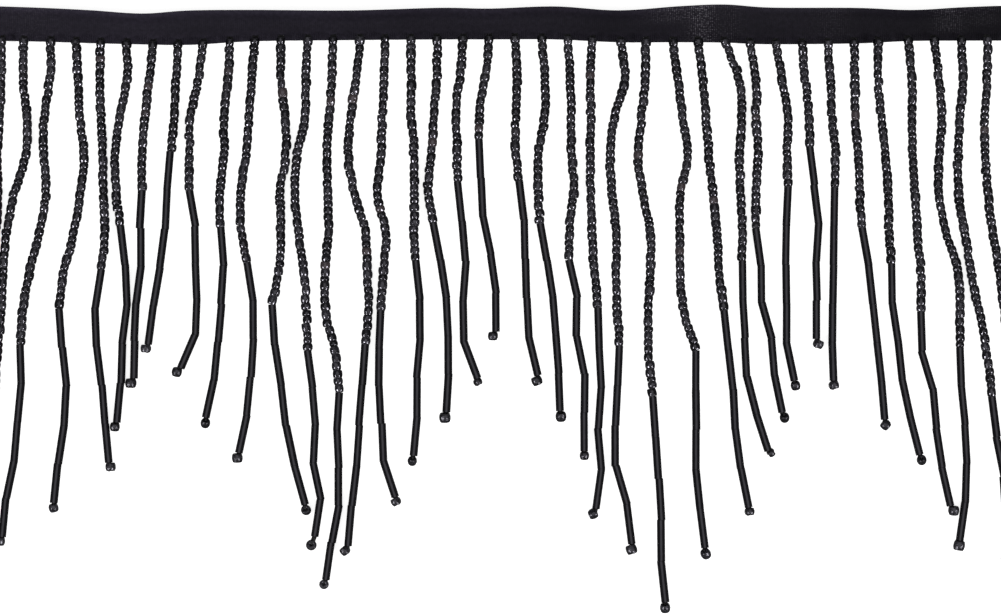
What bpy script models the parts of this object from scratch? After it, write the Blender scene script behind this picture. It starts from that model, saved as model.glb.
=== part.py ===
"""Beaded fringe trim, lying flat: a ribbed tape with strands of seed beads and bugle beads.

Metres, +Z up. X runs along the tape, +Y points from the strands to the tape, and the surface that
the trim lies on is z = 0. The origin is at the middle of the trim's footprint.

The trim is laid out by eye from a photograph taken from straight above. The two tables below hold
places in that photograph's pixels, x to the right and y down, and PIXEL turns them into metres.
"""
from collections import namedtuple
from math import hypot, sqrt

import bmesh
import bpy
import numpy as np

# Driving sizes
PIXEL = 0.00026
TAPE_WIDTH = 0.0100
TAPE_THICKNESS = 0.0010
SEED_WIDTH = 0.0022
BUGLE_WIDTH = 0.0018
TIP_WIDTH = 0.0025
TIP_LENGTH = 0.0020
STRIP_WIDTH = 0.0015
GAP = 0.0003

# The pixel that lies at the origin
MIDDLE_X = 499.0
MIDDLE_Y = 307.5

# Where the tape looks narrower than it is, its upper edge has curled up off the surface. The curl
# starts above the sewn part, and takes up this share of the width that is lost to view.
CURL_SHARE = 0.5
SEWN_SHARE = 1 / 3

# How far a strand's root reaches in from the tape's lower edge
ROOT_REACH = 0.0008

# Spans between two rows of a table, and rows of faces across the tape and the strip
TAPE_SPANS = 3
TAPE_ROWS = 6
STRIP_ROWS = 1
SEED_SPANS = 2

TAPE_COLOUR = (0.013, 0.012, 0.016, 1.0)
BEAD_COLOUR = (0.008, 0.008, 0.010, 1.0)

# The tape's upper and lower edges, from its left end to its right end
Section = namedtuple("Section", "x upper lower")
TAPE = [
    Section(-18, 6.0, 40.0),
    Section(40, 8.0, 41.0),
    Section(90, 10.5, 42.5),
    Section(143, 14.0, 43.8),
    Section(190, 10.7, 44.2),
    Section(255, 10.4, 40.6),
    Section(350, 11.0, 39.5),
    Section(440, 8.3, 38.8),
    Section(490, 9.1, 38.8),
    Section(555, 6.8, 38.8),
    Section(618, 10.8, 41.6),
    Section(680, 6.2, 41.6),
    Section(725, 4.1, 42.0),
    Section(770, 7.5, 43.6),
    Section(855, 8.0, 42.8),
    Section(910, 10.5, 40.4),
    Section(960, 7.7, 40.0),
    Section(1007, 5.7, 40.0),
]

# The strands, from left to right. root is the x of the strand's root. seeds is how far the run of
# seed beads has strayed from there at equal steps down to y = seed_end. bugle is the length of one
# bugle bead, swing is how far the lower end of each bugle bead has strayed from the root, and tip
# is the step from the last of them to the middle of the tip bead.
Strand = namedtuple("Strand", "root seed_end seeds bugle swing tip")
STRANDS = [
    Strand(2, 345, (-1, -2, -5, -4, -6, -10, -13, -15), 39.0, (-18, -22, -26, -28, -30), (-1, 6)),
    Strand(24, 392, (-1, 3, 1, -11, -18, -21, -23, -27, -29), 39.0, (-33, -36, -36, -38, -37), (0, 5)),
    Strand(51, 344, (-1, -7, -7, -5, -11, -21, -28, -31), 38.8, (-30, -34, -37, -45, -48), (-2, 4)),
    Strand(76, 308, (2, 4, 8, 4, -3, -13, -17), 39.0, (-14, -10, -12, -18, -22), (0, 5)),
    Strand(101, 269, (-1, 0, 2, 2, 4, 0), 38.9, (-6, -5, 1, 4, 8), (2, 5)),
    Strand(127, 225, (0, -7, -12, -11, -7), 39.4, (-2, 0, -5, -6, -9), (-1, 5)),
    Strand(153, 190, (-4, -8, -11, -11), 37.8, (-13, -12, -17, -18, -19), (-1, 5)),
    Strand(178, 151, (-2, -4, -7), 38.9, (-11, -13, -18, -25, -30), (-1, 4)),
    Strand(203, 190, (-5, -13, -14, -14), 36.5, (-8, -8, -6, -7, -22), (-3, 4)),
    Strand(230, 227, (-2, -6, -6, -10, -10), 38.5, (-7, -9, -13, -17, -24), (-1, 5)),
    Strand(255, 262, (-3, -6, -8, -14, -14, -8), 38.9, (-2, -2, -4, -8, -16), (-4, 4)),
    Strand(281, 304, (0, 4, 5, -1, 0, -2, -9), 40.4, (-6, 0, 5, 12, 24), (1, 6)),
    Strand(308, 350, (-2, -3, -11, -13, -9, -4, -2, 0), 37.6, (4, 7, 5, 12, 6), (-3, 8)),
    Strand(333, 392, (-1, -4, -6, -5, -5, -8, -7, 2, 6), 37.6, (4, 5, 5, -1, -7), (-2, 5)),
    Strand(360, 344, (-4, -9, -12, -7, 4, 7, 9, 5), 40.4, (2, -1, -3, -8, -12), (-3, 5)),
    Strand(385, 310, (-1, -3, -4, -8, 1, -2, -4), 38.0, (-6, -6, -3, -1, 10), (0, 4)),
    Strand(411, 260, (0, 0, 3, 3, 3, 5), 39.1, (9, 9, 6, 6, 2), (0, 5)),
    Strand(437, 222, (0, -3, -5, -9, -4), 38.3, (3, 9, 11, 11, 9), (-2, 5)),
    Strand(463, 181, (-3, -7, -6, -6), 39.4, (-1, 3, 0, 0, 14), (1, 5)),
    Strand(489, 139, (-3, -9, -10), 38.6, (-8, -5, 3, 7, 6), (-2, 4)),
    Strand(515, 180, (2, 1, 0, 4), 38.9, (9, 10, 12, 14, 23), (-1, 6)),
    Strand(542, 223, (3, 3, -3, -4, -2), 37.9, (5, 11, 14, 17, 18), (1, 4)),
    Strand(568, 259, (2, 3, 3, 6, 2, 0), 38.5, (8, 8, 16, 16, 16), (0, 5)),
    Strand(592, 307, (-2, -1, -2, -1, 0, 2, 6), 39.9, (7, 9, 6, 9, 4), (-2, 5)),
    Strand(621, 348, (3, -7, -11, -9, -5, -5, -4, -2), 39.0, (-3, -5, -6, 6, 10), (-1, 6)),
    Strand(646, 396, (-1, -4, -8, -2, 5, 4, 2, 3, 7), 41.3, (10, 13, 16, 15, 19), (0, 5)),
    Strand(673, 350, (5, 10, 15, 7, 7, 7, 11, 23), 39.3, (23, 23, 23, 27, 31), (1, 6)),
    Strand(698, 310, (5, 8, 11, 15, 19, 21, 26), 39.6, (31, 35, 37, 42, 50), (1, 4)),
    Strand(725, 260, (14, 17, 15, 15, 17, 17), 38.1, (18, 20, 21, 31, 41), (3, 4)),
    Strand(750, 228, (6, 6, 8, 6, 6), 37.3, (11, 12, 22, 25, 32), (2, 5)),
    Strand(776, 186, (6, 12, 11, 12), 38.8, (11, 10, 11, 10, 18), (1, 5)),
    Strand(802, 146, (3, 7, 8), 38.4, (12, 17, 14, 15, 15), (2, 5)),
    Strand(828, 187, (3, 4, 7, 7), 38.8, (6, 6, 5, 4, 6), (0, 4)),
    Strand(854, 227, (1, 1, 4, 6, 8), 38.4, (15, 19, 24, 28, 31), (0, 6)),
    Strand(878, 263, (0, 3, 7, 10, 11, 13), 38.7, (14, 20, 24, 33, 42), (1, 5)),
    Strand(908, 311, (4, 4, 5, 7, 9, 13, 13), 39.2, (14, 25, 28, 33, 42), (2, 6)),
    Strand(934, 347, (5, 7, 5, 6, 13, 24, 26, 26), 39.1, (28, 31, 33, 31, 26), (0, 4)),
    Strand(961, 396, (2, -1, -3, -2, 5, 11, 21, 27, 31), 40.5, (35, 42, 45, 44, 47), (0, 5)),
    Strand(987, 347, (0, -2, -2, 1, 6, 12, 17, 20), 39.0, (24, 30, 33, 35, 39), (1, 6)),
]


def place(x, y, z=0.0):
    """The point in metres under pixel (x, y), at height z."""
    return ((x - MIDDLE_X) * PIXEL, (MIDDLE_Y - y) * PIXEL, z)


def smooth(rows, spans):
    """A Catmull-Rom curve through the rows, cut into so many spans between two of them."""
    rows = np.array(rows, dtype=float)
    before = 2 * rows[0] - rows[1]
    after = 2 * rows[-1] - rows[-2]
    ring = np.vstack([before, rows, after])
    curve = []
    for a, b, c, d in zip(ring, ring[1:], ring[2:], ring[3:]):
        for step in range(spans):
            t = step / spans
            curve.append(
                b + t * (c - a) / 2
                + t * t * (a - 2.5 * b + 2 * c - d / 2)
                + t ** 3 * (1.5 * (b - c) + (d - a) / 2)
            )
    curve.append(rows[-1])
    return np.array(curve)


EDGES = smooth(TAPE, TAPE_SPANS)


def lower_edge(x):
    """The y of the tape's lower edge at x."""
    return float(np.interp(x, EDGES[:, 0], EDGES[:, 2]))


def curl(upper, lower):
    """How far the tape's upper edge stands off the surface where its edges are at these y."""
    seen = (lower - upper) * PIXEL
    return CURL_SHARE * sqrt(max(0.0, TAPE_WIDTH ** 2 - seen ** 2))


def strand_route(strand):
    """The strand's centre line, as (x, y) in pixels for its seed beads and for its bugle beads."""
    edge = lower_edge(strand.root)
    step = (strand.seed_end - edge) / len(strand.seeds)
    stations = [(strand.root, edge)]
    for count, drift in enumerate(strand.seeds, 1):
        stations.append((strand.root + drift, edge + count * step))
    seeds = smooth(stations, SEED_SPANS)

    x, y = stations[-1]
    bugles = [(x, y)]
    for swing in strand.swing:
        across = strand.root + swing - x
        x += across
        y += sqrt(strand.bugle ** 2 - across ** 2)
        bugles.append((x, y))
    return seeds, bugles


def strand_points(strand):
    """Each point of the strand's solid, as (x, y) in pixels and the width there in metres."""
    seeds, bugles = strand_route(strand)
    root_x, root_y = seeds[0]
    points = [(root_x, root_y - ROOT_REACH / PIXEL, SEED_WIDTH)]
    points += [(x, y, SEED_WIDTH) for x, y in seeds[1:]]

    # a short step down to the width of the bugle beads
    (x, y), (next_x, next_y) = bugles[:2]
    shoulder = (SEED_WIDTH - BUGLE_WIDTH) / PIXEL / strand.bugle
    points.append((x + (next_x - x) * shoulder, y + (next_y - y) * shoulder, BUGLE_WIDTH))
    points += [(x, y, BUGLE_WIDTH) for x, y in bugles[1:]]

    # the tip bead, in line with the thread that it hangs by
    x, y = bugles[-1]
    reach = hypot(*strand.tip) * PIXEL
    for along in (reach - TIP_LENGTH / 2, reach + TIP_LENGTH / 2):
        share = along / reach
        points.append((x + strand.tip[0] * share, y + strand.tip[1] * share, TIP_WIDTH))
    return points


def clear_scene():
    for item in list(bpy.data.objects):
        bpy.data.objects.remove(item, do_unlink=True)


def add_collection(name):
    collection = bpy.data.collections.new(name)
    bpy.context.scene.collection.children.link(collection)
    return collection


def add_object(name, data, collection):
    item = bpy.data.objects.new(name, data)
    collection.objects.link(item)
    return item


def add_material(name, colour, roughness):
    material = bpy.data.materials.new(name)
    material.use_nodes = True
    shader = material.node_tree.nodes["Principled BSDF"]
    shader.inputs["Base Color"].default_value = colour
    shader.inputs["Roughness"].default_value = roughness
    return material


def as_guide(item):
    item.hide_render = True
    item.display_type = "WIRE"


def add_band(name, rows, thickness, shape, collection):
    """A sheet along the whole tape. shape turns a section and 0 to 1 across it into a point."""
    columns = len(EDGES) - 1
    mesh = bpy.data.meshes.new(name)
    form = bmesh.new()
    bmesh.ops.create_grid(form, x_segments=columns, y_segments=rows, size=0.5)
    for vertex in form.verts:
        column = round((vertex.co.x + 0.5) * columns)
        across = vertex.co.y + 0.5
        vertex.co = shape(EDGES[column], across)
    form.to_mesh(mesh)
    form.free()
    item = add_object(name, mesh, collection)
    solidify = item.modifiers.new("thickness", "SOLIDIFY")
    solidify.thickness = thickness
    solidify.offset = 1.0
    return item


def tape_point(section, across):
    """A point of the tape's underside, which is flat where it is sewn and curls up above that."""
    x, upper, lower = section
    start = lower - (STRIP_WIDTH + GAP) / PIXEL
    y = start + (upper - start) * across
    bend = max(0.0, (across - SEWN_SHARE) / (1.0 - SEWN_SHARE))
    return place(x, y, curl(upper, lower) * bend ** 2)


def strip_point(section, across):
    """A point of the underside of the strip that carries the strands."""
    x, _, lower = section
    return place(x, lower - STRIP_WIDTH / PIXEL * across)


def add_square(collection):
    """The strands' section, a square as wide as a seed bead."""
    half = SEED_WIDTH / 2
    curve = bpy.data.curves.new("strand_section", "CURVE")
    curve.dimensions = "2D"
    corners = [(-half, -half), (half, -half), (half, half), (-half, half)]
    spline = curve.splines.new("POLY")
    spline.points.add(len(corners) - 1)
    for point, (x, y) in zip(spline.points, corners):
        point.co = (x, y, 0.0, 1.0)
    spline.use_cyclic_u = True
    item = add_object("strand_section", curve, collection)
    as_guide(item)
    return item


def add_strands(section, collection):
    """All the strands as one mesh of separate bars, each lying level on the surface."""
    curve = bpy.data.curves.new("strand_lines", "CURVE")
    curve.dimensions = "3D"
    curve.twist_mode = "Z_UP"
    curve.bevel_mode = "OBJECT"
    curve.bevel_object = section
    curve.use_fill_caps = True
    for strand in STRANDS:
        points = strand_points(strand)
        spline = curve.splines.new("POLY")
        spline.points.add(len(points) - 1)
        for point, (x, y, width) in zip(spline.points, points):
            point.co = (*place(x, y, width / 2), 1.0)
            point.radius = width / SEED_WIDTH
    lines = add_object("strand_lines", curve, collection)

    bpy.context.view_layer.update()
    depsgraph = bpy.context.evaluated_depsgraph_get()
    mesh = bpy.data.meshes.new_from_object(lines.evaluated_get(depsgraph))
    form = bmesh.new()
    form.from_mesh(mesh)
    bmesh.ops.remove_doubles(form, verts=form.verts, dist=0.000001)
    bmesh.ops.recalc_face_normals(form, faces=form.faces)
    form.to_mesh(mesh)
    form.free()
    bars = add_object("strand_bars", mesh, collection)
    bars.matrix_world = lines.matrix_world
    bpy.data.objects.remove(lines, do_unlink=True)
    as_guide(bars)
    return bars


def build():
    clear_scene()
    parts = add_collection("beaded_fringe_trim")
    guides = add_collection("guides")

    tape = add_band("tape", TAPE_ROWS, TAPE_THICKNESS, tape_point, parts)
    tape.data.materials.append(add_material("tape_cloth", TAPE_COLOUR, 0.85))

    fringe = add_band("fringe", STRIP_ROWS, TAPE_THICKNESS, strip_point, parts)
    fringe.data.materials.append(add_material("bead_glass", BEAD_COLOUR, 0.2))
    bars = add_strands(add_square(guides), guides)
    union = fringe.modifiers.new("roots", "BOOLEAN")
    union.operation = "UNION"
    union.solver = "EXACT"
    union.object = bars


build()
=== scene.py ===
"""The looks of the beaded fringe trim: a ribbed ribbon, and strands of seed and bugle beads.

Metres, in the part's own frame: X runs along the ribbon, +Y points from the strands to the ribbon,
and the surface that the trim lies on is z = 0. The tables hold places in the photograph's pixels, x
to the right and y down, and PIXEL turns them into metres. Angles are in radians, and in degrees in
the table of stop beads.
"""

from collections import namedtuple
from math import acos, ceil, cos, pi, radians, sin, sqrt

import bpy
import numpy as np
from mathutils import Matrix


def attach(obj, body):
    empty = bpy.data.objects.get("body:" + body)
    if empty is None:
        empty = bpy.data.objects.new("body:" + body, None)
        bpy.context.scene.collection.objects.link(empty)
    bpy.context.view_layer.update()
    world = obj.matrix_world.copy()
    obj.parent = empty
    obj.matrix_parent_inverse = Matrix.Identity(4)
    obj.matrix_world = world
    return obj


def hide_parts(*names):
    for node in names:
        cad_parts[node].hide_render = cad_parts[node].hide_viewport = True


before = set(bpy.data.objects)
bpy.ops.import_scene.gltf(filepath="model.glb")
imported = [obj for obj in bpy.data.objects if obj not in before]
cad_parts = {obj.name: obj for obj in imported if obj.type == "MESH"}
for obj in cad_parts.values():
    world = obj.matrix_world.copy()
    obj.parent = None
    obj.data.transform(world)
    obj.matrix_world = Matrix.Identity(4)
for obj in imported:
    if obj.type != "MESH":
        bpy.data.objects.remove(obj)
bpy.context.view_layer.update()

# The trim's sizes. Its beads are a little wider than the plain bars that stand for them. Above its
# lower edge the ribbon lies flat for SEWN_WIDTH and then for SEWN_SHARE of the rest, and it curls up
# from there. A strand's first bead starts ROOT_REACH above that edge.
PIXEL = 0.00026
MIDDLE_X = 499.0
MIDDLE_Y = 307.5
TAPE_WIDTH = 0.0100
SEED_WIDTH = 0.00249
BUGLE_WIDTH = 0.00206
TIP_WIDTH = 0.00268
TIP_LENGTH = 0.0021
SEWN_WIDTH = 0.0018
CURL_SHARE = 0.5
SEWN_SHARE = 1 / 3
ROOT_REACH = 0.0008

# Into how many spans a curve is cut between two of its places
EDGE_SPANS = 12
STRAND_SPANS = 8
STITCH_SPANS = 4
BACK_SPANS = 3

# The ribbon. Ribs run across it, and it lies on the stitches at its back. Its two selvedges are
# thinner than the rest, with flatter ribs. Its colour is paler along both edges: less and less down
# to a given reach below the upper one, and from the first to the second of two given heights above
# the lower one, where the paler colour is painted light against the shadows of the beads and stitches.
RIBBON_THICKNESS = 0.00050
RIBBON_LIFT = 0.00016
RIB_PITCH = 0.00055
RIB_HEIGHT = 0.00007
RIB_ROUNDNESS = 0.7
RIB_COLUMNS = 4
RIBBON_ROWS = 18
ROW_CROWDING = 0.06
SELVEDGE = 0.0006
SELVEDGE_THICKNESS = 0.45
SELVEDGE_RIBS = 0.6
CUT_EDGE = radians(60)
# how far below the upper edge the colour turns paler, and how much
UPPER_PALER_REACH = 0.0016
UPPER_PALING = 0.8
# painted light above the lower edge, against the shadows of the beads and stitches: the two heights
# between which it fades out, and its strength
LOWER_PAINTED_LIGHT_HEIGHTS = (0.0009, 0.0031)
LOWER_PAINTED_LIGHT = 0.5
WARP_PITCH = 0.00028
# the painted highlights on the ribbon: the pitch of their dots along the ribs, and how softly they fade
# across the width
DOT_PITCH = 0.00045
CATCH_FADE = 0.25

# Seed beads
SEED_LENGTH = 0.00188
SEED_LENGTH_SPREAD = 0.00027
SEED_LENGTHS = (0.00125, 0.00240)
SEED_WIDTH_SPREAD = 0.00010
SEED_HOLE = 0.00050
SEED_HOLE_REACH = 0.45
SEED_SHIFT = 0.00008
ROOT_SHIFT_SHARE = 0.3
SEED_STRAY = 0.00016
SEED_STRAY_YAW = radians(12)
SEED_STRAY_SHARE = 0.09
SEED_YAW = radians(3.5)
SEED_PITCH = radians(3)
SEED_SKEW = 0.025
SEED_OVAL = 0.02
SEED_SWELL = (0.00016, 0.00026)
SEED_CORNER = 0.00026
SEED_CORNER_DEPTH = 0.00004
SEED_BEARING = 1.03
SEED_SIDES = 16
SEED_POINTS = 13

# The ribbon's thickness lifts a strand, less and less from just above its lower edge to LIFTED_REACH
# further down
LIFTED_ABOVE = 0.0004
LIFTED_REACH = 0.0040

# Stop beads, each held close to the last bugle bead by a knot
TIP_SWELL = 0.00024
TIP_HOLE = 0.00034
TIP_TONES = (0.3, 0.9)
KNOT_RADIUS = 0.00062
KNOT_SIDES = 12

# Bugle beads
BUGLE_BEARING = 0.00004
BUGLE_HOLE = 0.00036
BUGLE_HOLE_REACH = 0.48
BUGLE_BEVEL = 0.00006
BUGLE_RIM = radians(30)
BUGLE_WIDTH_SPREAD = 0.00003
BUGLE_SHIFT = 0.00008
BUGLE_SIDES = 22
BUGLE_RINGS = 4

# Thread. A length of it ends in a small ring, and its sides are counted from X instead of Z where it
# starts nearly upright. It passes round a stop bead in a few steps, and round the bead's side where
# it has hardly a turn to make.
THREAD_RADIUS = 0.00013
THREAD_SIDES = 6
TUBE_END_REACH = 0.5
TUBE_END_SHARE = 0.3
UPRIGHT = 0.9
WRAP_STEPS = 7
WRAP_ROUNDNESS = 3
WRAP_LEAST_TURN = 0.3
LOOP_LIFT = 0.5

# Stitches at the strands' roots. Each leaves the first bead's hole, rises over a crest and goes down
# through the ribbon at its foot, and the six of a root lie side by side.
STITCH_RADIUS = 0.00017
STITCHES = (-0.00072, -0.00042, -0.00014, 0.00014, 0.00042, 0.00072)
STITCH_FEET = (0.00125, 0.00160)
STITCH_FOOT_SHARE = 0.8
STITCH_FOOT_DEPTH = 0.0001
STITCH_CREST = 0.0006
STITCH_CREST_SPREAD = (-0.0001, 0.0002)
STITCH_CREST_HEIGHT = 0.00045
STITCH_START_SHARE = 0.5
STITCH_START = 0.0002
STITCH_BOW = 0.0002
BACK_STITCH = 0.0004
BACK_STITCH_UP = 0.0019

# Black glass reflects white light a little bluish. A seed bead runs from dark to light with its own
# tone and its streaks, the few beads with the highest tone are a dull rosy grey, and the ground ends
# are rough.
GLASS_IOR = 1.52
GLASS_TINT = (0.91, 0.885, 1.0, 1.0)
SEED_DARK = (0.0011, 0.0011, 0.0015)
SEED_LIGHT = (0.027, 0.026, 0.032)
SEED_DULL = (0.032, 0.025, 0.026)
SEED_TONES = (0.25, 0.9)
DULL_TONES = (0.980, 0.985)
STREAK_SCALE = 2600.0
STREAKS = (0.40, 0.66)
SEED_POLISH = (0.06, 0.17)
TIP_POLISH = (0.22, 0.38)
POLISH_STREAKS = (0.35, 0.65)
GROUND_ROUGHNESS = 0.55
GROUND_FROM = (0.78, 0.92)
DENT_SCALE = 1500.0
DENT_DEPTH = 0.00014
BUGLE_DARK = (0.0022, 0.0021, 0.0032)
BUGLE_LIGHT = (0.0056, 0.0054, 0.0072)
BUGLE_STREAKS = (9000.0, 500.0, 9000.0)
BUGLE_POLISH = (0.10, 0.22)
BUGLE_WAVES = (1500.0, 450.0, 1500.0)
BUGLE_WAVE_DEPTH = 0.00008
BUGLE_WAVE_SHARE = 0.5

# Black cloth. Painted light and shade make it palest at the ribbon's left end and darkest at its right
# end, and the falloff below gives this as a share of its plain colour at each end.
CLOTH_DARK = (0.0039, 0.0033, 0.0055)
CLOTH_LIGHT = (0.0093, 0.0079, 0.0124)
# the colour of the painted highlights on the weave
CLOTH_PAINTED_LIT = (0.13, 0.122, 0.14)
CLOTH_ROUGHNESS = 0.62
CLOTH_GLOSS = 0.07
BLOTCH_SCALE = 900.0
DRIFT_SCALE = 40.0
BLOTCHES = (-0.2, 2.6)
# where the painted highlights show, and how their dots wander
PAINTED_LIT_PATCHES = (0.42, 0.66)
DOT_WANDER = 0.8
# the painted light and shade along the ribbon, at its left and right ends
PAINTED_LIGHT_FALLOFF = (1.63, 0.54)
# how much paler an edge's colour gets where its paling is full; at the lower edge this is painted light
EDGE_PALING_GAIN = 2.0
WARP_WANDER = 1.5
WARP_DEPTH = 0.00004
WARP_SHARE = 0.6

# Black thread
FIBRE_DARK = (0.0010, 0.0010, 0.0011)
FIBRE_LIGHT = (0.0045, 0.0042, 0.0048)
FIBRE_SCALE = 6000.0
FIBRE_ROUGHNESS = 0.7

# The width of one band of a wave texture whose scale is 1
BAND_WIDTH = 0.314

# How many strands' seed beads make one piece, and where the random variation of them all starts
STRANDS_A_PIECE = 8
RANDOM_START = 7

# The surface that the trim lies on is white paper, lit so softly that hardly a shadow shows
FLOOR_REACH = 4.0
FLOOR_DROP = 0.00005
FLOOR_GLOW = 0.78
PAPER_SCALE = 400.0
PAPER_DARK = (0.59, 0.59, 0.59)
PAPER_LIGHT = (0.61, 0.61, 0.61)

# The sky's strength rises from the first of these to the second between two heights, of which 1 is
# overhead and 0 the horizon. What the camera sees behind everything is a plain backdrop.
SKY_HEIGHTS = (0.74, 1.0)
SKY_STRENGTHS = (0.15, 1.28)
BACKDROP = (0.9, 0.9, 0.9, 1.0)
WHITE = (1.0, 1.0, 1.0, 1.0)

# Two soft distant lamps, one to the left and one to the right
KEY_BEARING = radians(61)
KEY_FROM_ZENITH = radians(53)
KEY_STRENGTH = 2.2
KEY_SPREAD = radians(14)

# The camera looks straight down on the middle of the photograph, or CAMERA_UP pixels above it
IMAGE = (1001, 615)
CAMERA_UP = 0.45
LENS = 120.0
SENSOR = 36.0

# The ribbon's upper and lower edges, from its left end to its right end
Section = namedtuple("Section", "x upper lower")
TAPE = [
    Section(-18, 6.0, 40.0),
    Section(40, 8.0, 41.0),
    Section(90, 10.5, 42.5),
    Section(143, 14.0, 43.8),
    Section(190, 10.7, 44.2),
    Section(255, 10.4, 40.6),
    Section(350, 11.0, 39.5),
    Section(440, 8.3, 38.8),
    Section(490, 9.1, 38.8),
    Section(555, 6.8, 38.8),
    Section(618, 10.8, 41.6),
    Section(680, 6.2, 41.6),
    Section(725, 4.1, 42.0),
    Section(770, 7.5, 43.6),
    Section(855, 8.0, 42.8),
    Section(910, 10.5, 40.4),
    Section(960, 7.7, 40.0),
    Section(1007, 5.7, 40.0),
]

# Where highlights are painted into the ribbon's weave, for light that it catches: the middle and the
# reach along the ribbon, the share of its width above which they show, and how strong they are
Catch = namedtuple("Catch", "x reach above strength")
PAINTED_CATCHES = [
    Catch(30, 30, 0.1, 0.10),
    Catch(672, 22, 0.60, 0.57),
    Catch(702, 13, 0.0, 1.15),
    Catch(732, 12, 0.0, 0.28),
    Catch(832, 18, 0.1, 0.24),
    Catch(950, 16, 0.30, 0.90),
    Catch(985, 14, 0.45, 0.42),
]

# The strands, from left to right. root is the x of the strand's root. seeds is how far the run of
# seed beads has strayed from there at equal steps down to y = seed_end. bugle_end is the y where the
# last bugle bead ends, and swing is how far the lower end of each bugle bead has strayed from the
# root. aside is how far the stop bead lies to the right of the last bugle bead's line.
Strand = namedtuple("Strand", "root seed_end seeds bugle_end swing aside")
STRANDS = [
    Strand(2, 345, (-1, -2, -5, -4, -6, -10, -13, -15), 539.5, (-18, -22, -26, -28, -30), -1),
    Strand(24, 392, (-1, 3, 1, -11, -18, -21, -23, -27, -29), 586.5, (-33, -36, -36, -38, -37), 0),
    Strand(51, 344, (-1, -7, -7, -5, -11, -21, -28, -31), 536.5, (-30, -34, -37, -45, -49), -1.5),
    Strand(76, 308, (2, 4, 8, 4, -2, -12, -17), 502.5, (-14, -10, -12, -19, -22), 0),
    Strand(101, 269, (-1, 0, 2, 2, 4, 0), 462, (-6, -4.5, 0.5, 4, 8), 1.2),
    Strand(127, 225, (0, -7, -12, -11, -7), 422, (-2, 0, -5, -6, -10), -1.7),
    Strand(153, 190, (-4, -8, -11, -11), 378, (-13, -12, -17, -18.5, -19.5), -2.5),
    Strand(178, 151, (-2, -4, -7), 344, (-11, -13, -18, -25, -29.5), -2.5),
    Strand(203, 190, (-5, -13, -14, -14), 367.5, (-8, -8, -6.5, -8, -22.7), -1.5),
    Strand(230, 227, (-2, -6, -6, -10, -10), 417.2, (-7, -9, -12, -16, -24), 0.6),
    Strand(255, 262, (-3, -6, -8, -14, -14, -8), 452.5, (-2, -2, -4.5, -8.5, -15.5), -1.2),
    Strand(281, 304, (0, 4, 5, -1, 0, -2, -9), 504.3, (-6, 0, 5, 13, 24), -0.4),
    Strand(308, 350, (-2, -3, -11, -13, -9, -4, -2, 0), 536, (4, 7.4, 5, 12.3, 6.5), -1.8),
    Strand(333, 392, (-1, -4, -6, -5, -5, -8, -7, 2.5, 6), 579.3, (4, 5.6, 5.7, -1.5, -7.3), -1),
    Strand(360, 344, (-4, -9, -12, -6, 5, 7, 9, 5), 545.5, (2, -1.3, -3.3, -8.4, -12), -2.8),
    Strand(385, 310, (-1, -3, -4, -8, 1, -2, -4), 496.5, (-6, -6.3, -4, -1.4, 10.5), -1.3),
    Strand(411, 260, (0, 0, 3, 3, 3, 5), 455.3, (9, 9, 6, 6, 2), -0.2),
    Strand(437, 222, (0, -3, -5, -9, -4), 411.7, (3, 9, 11.5, 11.7, 9.7), -1.5),
    Strand(463, 181, (-3, -7, -6, -6), 378, (-1, 3, 0, 0.8, 15), -1),
    Strand(489, 139, (-3, -9, -10), 331.2, (-8, -6, 2, 7, 6.5), -2.6),
    Strand(515, 180, (2, 1, 0, 4), 375, (9, 10, 12, 13.8, 22.5), -1.8),
    Strand(542, 223, (3, 3, -3, -4, -2), 410.5, (5, 11, 14, 17, 18), 0.8),
    Strand(568, 259, (2, 3, 3, 6, 2, 1), 450.8, (9, 8.5, 16.5, 16.4, 16.4), 0),
    Strand(592, 307, (-2, -1, -2, -1, 0, 2, 6), 508.3, (7.3, 9, 6.3, 9.4, 4), -2.2),
    Strand(621, 345, (4, -7, -11, -9, -5, -5, -4, -1.5), 543.5, (-3.3, -5.3, -5.8, 6, 10.8), -1),
    Strand(646, 396, (-1, -5, -8, -2, 5, 4, 2, 3, 7), 601.8, (9.7, 12.7, 15.4, 15.4, 19.4), -0.8),
    Strand(673, 350, (5, 10, 15, 7, 7, 7, 11, 23), 547.5, (22.7, 23.2, 23.2, 27.3, 32), 0),
    Strand(698, 310, (5, 8, 11, 15, 19, 21, 26), 507, (30.6, 35, 37.4, 43.2, 51), 0.2),
    Strand(725, 260, (14, 17, 15, 15, 17, 17), 450.5, (18, 20, 21.8, 31.5, 43), 2.5),
    Strand(750, 228, (6, 6, 8, 6, 6), 412, (11, 12, 21.3, 25, 32), 1.5),
    Strand(776, 186, (6, 12, 11, 12), 380.4, (11, 10, 11, 10.3, 18.5), 0),
    Strand(802, 146, (3, 7, 8), 338.5, (12, 17, 14, 15, 15), 1.6),
    Strand(828, 187, (2, 4, 7, 7), 380.2, (6, 6, 5, 4, 6), 0),
    Strand(854, 227, (1, 1, 4, 6, 8), 419, (15, 19, 23.4, 27.6, 31), 0),
    Strand(878, 263, (0, 3, 7, 10, 11, 13), 454.2, (14, 20.4, 24.6, 32.4, 42), 0.2),
    Strand(908, 311, (4, 4, 5, 7, 9, 13, 13), 505.3, (14.4, 25, 28.6, 34, 43), 1.6),
    Strand(934, 347, (5, 8, 5, 5, 12, 24, 26, 26), 540, (28, 31.3, 32.7, 31.4, 25.7), 0),
    Strand(961, 396, (2, -1, -3, -2, 5, 11, 20, 26.4, 31), 597.5, (36, 42.7, 45, 44, 47), 0),
    Strand(987, 347, (0, -2, -2, 1, 6, 12, 17, 20), 541, (24, 30, 33, 35, 39), 1),
]

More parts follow.
